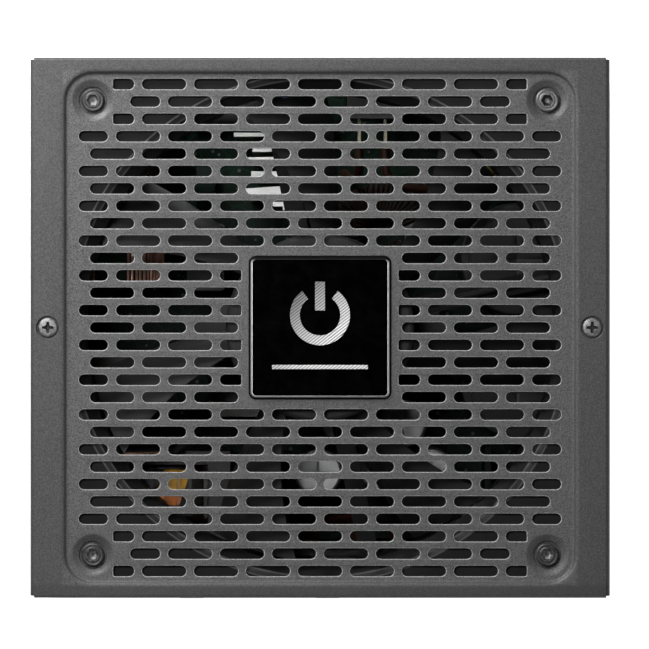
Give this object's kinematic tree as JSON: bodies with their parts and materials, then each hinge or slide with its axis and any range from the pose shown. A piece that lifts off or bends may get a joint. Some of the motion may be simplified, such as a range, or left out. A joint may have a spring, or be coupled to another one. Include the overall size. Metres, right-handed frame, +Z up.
{
  "type": "power supply unit",
  "caption": "Modular computer power supply in a folded steel case, with a slotted fan grille on top, a mains inlet and rocker switch behind, and output sockets in front.",
  "frame": {"origin": "middle of the footprint, on the face the unit rests on (the face opposite the fan grille)", "axes": "+Z up through the fan grille, along the fan's axis; +X along the 150 mm width; +Y towards the mains inlet and switch; the output sockets face -Y"},
  "size_m": [0.15, 0.1432, 0.086],
  "materials": {
    "powder_coat": "fine-textured dark grey powder coat",
    "black_screw": "black oxide steel, satin",
    "polished_edge": "polished aluminium",
    "badge_face": "gloss black",
    "fan_plastic": "moulded black plastic, satin",
    "black_plastic": "moulded black plastic",
    "steel": "zinc-plated steel",
    "brass": "plated brass",
    "magnet": "plastic-bonded ferrite, dark brown-grey",
    "copper_wire": "enamelled copper wire",
    "board": "green glass-epoxy board",
    "lead_black": "black sleeved lead",
    "live_brown": "brown insulated wire",
    "neutral_blue": "blue insulated wire",
    "earth_green": "green and yellow insulated wire",
    "connector_white": "natural nylon connector",
    "insulator": "black polycarbonate film",
    "choke_core": "green epoxy-coated ring core",
    "film_cap": "yellow film capacitor case",
    "ceramic": "dipped ceramic disc",
    "fuse_body": "ceramic fuse tube",
    "aluminium": "extruded aluminium",
    "package": "moulded semiconductor package",
    "cap_sleeve": "dark sleeved electrolytic capacitor",
    "cap_can": "bare aluminium capacitor can",
    "ferrite": "sintered ferrite",
    "yellow_tape": "yellow polyester tape",
    "litz": "silk-wrapped copper litz wire",
    "coil_red": "dark red enamelled coil",
    "copper_bar": "tinned copper bar"
  },
  "bodies": {
    "housing": {"ac_inlet": "black_plastic", "ac_inlet_pins": "brass", "badge_frame": "polished_edge", "badge_plate": "badge_face", "base_chassis": "powder_coat", "bearing_sleeve": "brass", "bridge_heatsink": "aluminium", "bridge_rectifier": "package", "bulk_capacitors": "cap_sleeve", "cover_screws": "black_screw", "daughter_boards": "board", "earth_wire": "earth_green", "eight_pin_sockets": "black_plastic", "fan_frame": "fan_plastic", "fan_header": "connector_white", "fan_lead": "lead_black", "fan_pcb": "board", "fan_plug": "connector_white", "fan_screws": "black_screw", "filter_choke_cores": "choke_core", "filter_choke_windings": "copper_wire", "fuse": "fuse_body", "graphics_socket": "black_plastic", "insulating_sheet": "insulator", "live_wires": "live_brown", "main_pcb": "board", "modular_pcb": "board", "motherboard_sockets": "black_plastic", "neutral_wire": "neutral_blue", "output_busbars": "copper_bar", "output_capacitors": "cap_can", "output_coils": "coil_red", "pcb_screws": "steel", "pcb_standoffs": "brass", "pfc_choke_core": "choke_core", "pfc_choke_winding": "copper_wire", "primary_heatsink": "aluminium", "primary_transistors": "package", "relay": "black_plastic", "resonant_choke": "yellow_tape", "secondary_heatsink": "aluminium", "six_pin_sockets": "black_plastic", "socket_pins": "brass", "standby_transformer": "yellow_tape", "stator_core": "steel", "stator_windings": "copper_wire", "switch_housing": "black_plastic", "switch_terminals": "brass", "thermistor": "ceramic", "top_cover": "powder_coat", "transformer_core": "ferrite", "transformer_lead": "litz", "transformer_winding": "yellow_tape", "x_capacitors": "film_cap", "y_capacitors": "ceramic"},
    "fan_rotor": {"fan_impeller": "fan_plastic", "rotor_cup": "steel", "magnet_ring": "magnet", "fan_shaft": "steel"},
    "rocker": {"switch_rocker": "black_plastic"}
  },
  "joints": [
    {"name": "fan_spin", "type": "hinge", "parent": "housing", "child": "fan_rotor", "pos_m": [0, 0, 0.07], "axis": [0, 0, 1], "continuous": true},
    {"name": "switch_rock", "type": "hinge", "parent": "housing", "child": "rocker", "pos_m": [0.014, 0.0684, 0.026], "axis": [1, 0, 0], "range_deg": [0, 20]}
  ]
}
